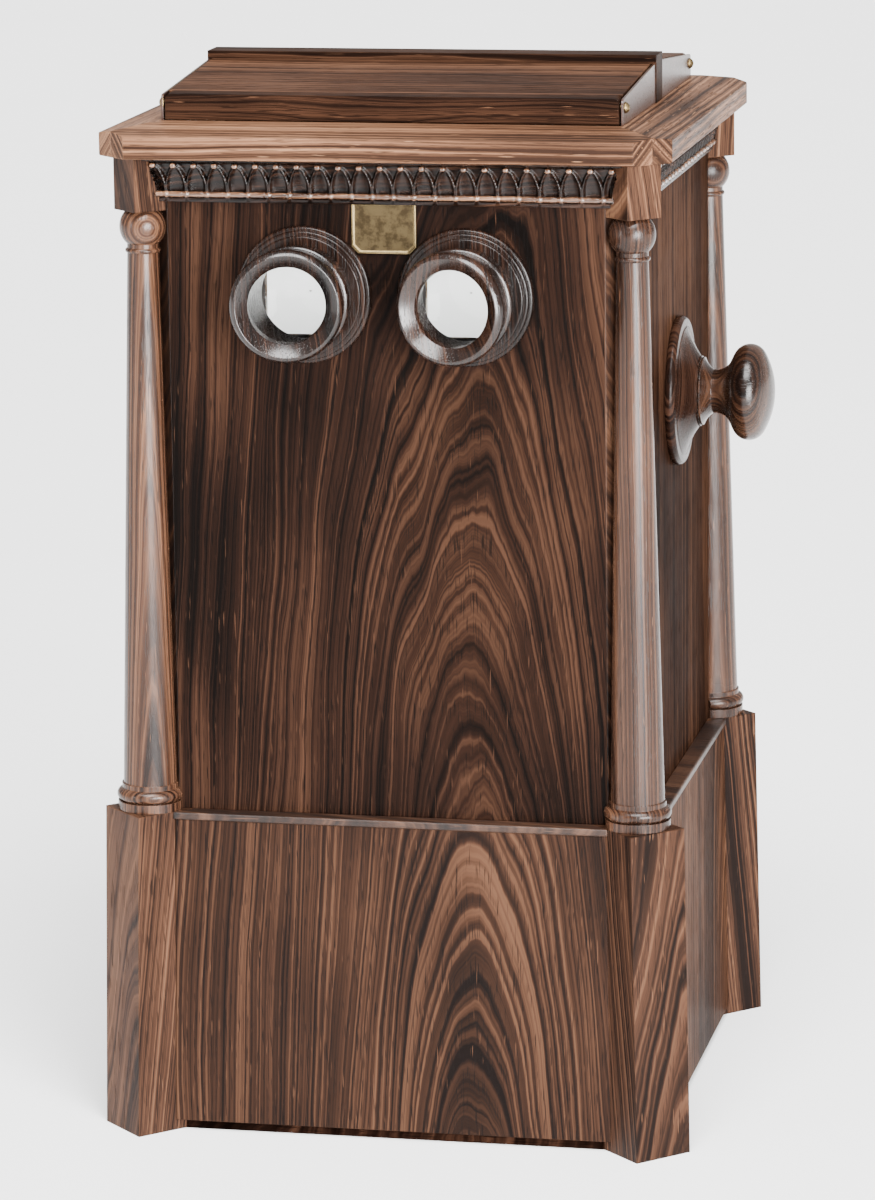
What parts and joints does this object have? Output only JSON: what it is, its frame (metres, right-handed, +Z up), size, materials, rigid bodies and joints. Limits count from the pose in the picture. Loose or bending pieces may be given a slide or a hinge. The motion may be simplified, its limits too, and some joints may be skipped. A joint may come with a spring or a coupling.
{
  "type": "stereo viewer",
  "caption": "Table-top stereo viewer: a columned wooden cabinet with eyepieces, mirror-backed lids and a side knob that turns a belt of view holders.",
  "frame": {"origin": "middle of the cabinet's underside, on the surface it stands on", "axes": "+Z up, -Y the eyepieces' side, +X the knob's side"},
  "size_m": [0.3083, 0.306, 0.5076],
  "materials": {
    "bottom_wood": "oiled",
    "base_rosewood": "french polished",
    "block_rosewood": "french polished",
    "worn_edge_wood": "french polished",
    "panel_rosewood": "french polished",
    "turned_rosewood": "french polished",
    "carved_rosewood": "french polished",
    "cornice_wood": "french polished",
    "lid_wood": "french polished",
    "japanned_brass": "japanned, satin",
    "silvered_glass": "silvered glass",
    "brass": "aged, half polished",
    "plate_brass": "aged, with a bright raised border",
    "ebonised_wood": "turned and polished, nearly black",
    "lens_glass": "polished",
    "inner_wood": "plain",
    "ground_glass": "ground on one face",
    "steel": "drawn",
    "linen_tape": "woven tape"
  },
  "bodies": {
    "cabinet": {"bottom_board": "bottom_wood", "base_panel_front": "base_rosewood", "base_panel_right": "base_rosewood", "base_panel_rear": "base_rosewood", "base_panel_left": "base_rosewood", "plinth_block_front_right": "block_rosewood", "plinth_block_rear_right": "block_rosewood", "plinth_block_rear_left": "block_rosewood", "plinth_block_front_left": "block_rosewood", "entablature_blocks": "block_rosewood", "ledge_mouldings": "worn_edge_wood", "front_panel": "panel_rosewood", "rear_panel": "panel_rosewood", "left_panel": "panel_rosewood", "right_panel": "panel_rosewood", "corner_posts": "panel_rosewood", "column_front_right": "turned_rosewood", "column_rear_right": "turned_rosewood", "column_rear_left": "turned_rosewood", "column_front_left": "turned_rosewood", "frieze_front": "carved_rosewood", "frieze_right": "carved_rosewood", "frieze_rear": "carved_rosewood", "frieze_left": "carved_rosewood", "cornice_board_front": "cornice_wood", "cornice_board_right": "cornice_wood", "cornice_board_rear": "cornice_wood", "cornice_board_left": "cornice_wood", "ridge_rail": "lid_wood", "cheek_plates": "japanned_brass", "shaft_bushes": "brass", "axle_bushes": "brass", "maker_plate": "plate_brass", "right_eyepiece": "ebonised_wood", "left_eyepiece": "ebonised_wood", "right_eyepiece_flange": "ebonised_wood", "left_eyepiece_flange": "ebonised_wood", "knob_rosette": "ebonised_wood", "right_lens": "lens_glass", "left_lens": "lens_glass", "lens_frames": "inner_wood", "partition": "inner_wood", "glass_beads": "inner_wood", "belt_slats": "inner_wood", "rear_glass": "ground_glass", "view_holders": "steel", "belt_tapes": "linen_tape"},
    "knob_turning": {"knob": "ebonised_wood", "knob_shaft": "steel", "upper_roller": "inner_wood"},
    "lower_roller_turning": {"lower_roller": "inner_wood", "lower_axle": "steel"},
    "front_lid": {"front_lid_board": "lid_wood", "front_lid_fascia": "lid_wood", "front_lid_mirror": "silvered_glass", "front_lid_pins": "brass"},
    "rear_lid": {"rear_lid_board": "lid_wood", "rear_lid_fascia": "lid_wood", "rear_lid_mirror": "silvered_glass", "rear_lid_pins": "brass"}
  },
  "joints": [
    {"name": "knob_turn", "type": "hinge", "parent": "cabinet", "child": "knob_turning", "pos_m": [0, 0, 0.3443], "axis": [1, 0, 0], "continuous": true},
    {"name": "lower_roller_turn", "type": "hinge", "parent": "cabinet", "child": "lower_roller_turning", "pos_m": [0, 0, 0.119], "axis": [1, 0, 0], "continuous": true},
    {"name": "front_lid_hinge", "type": "hinge", "parent": "cabinet", "child": "front_lid", "pos_m": [0, -0.096, 0.4924], "axis": [1, 0, 0], "range_deg": [0, 110]},
    {"name": "rear_lid_hinge", "type": "hinge", "parent": "cabinet", "child": "rear_lid", "pos_m": [0, 0.096, 0.4924], "axis": [-1, 0, 0], "range_deg": [0, 110]}
  ],
  "couplings": [
    {"joint": "lower_roller_turn", "follows": "knob_turn", "ratio": 1}
  ]
}
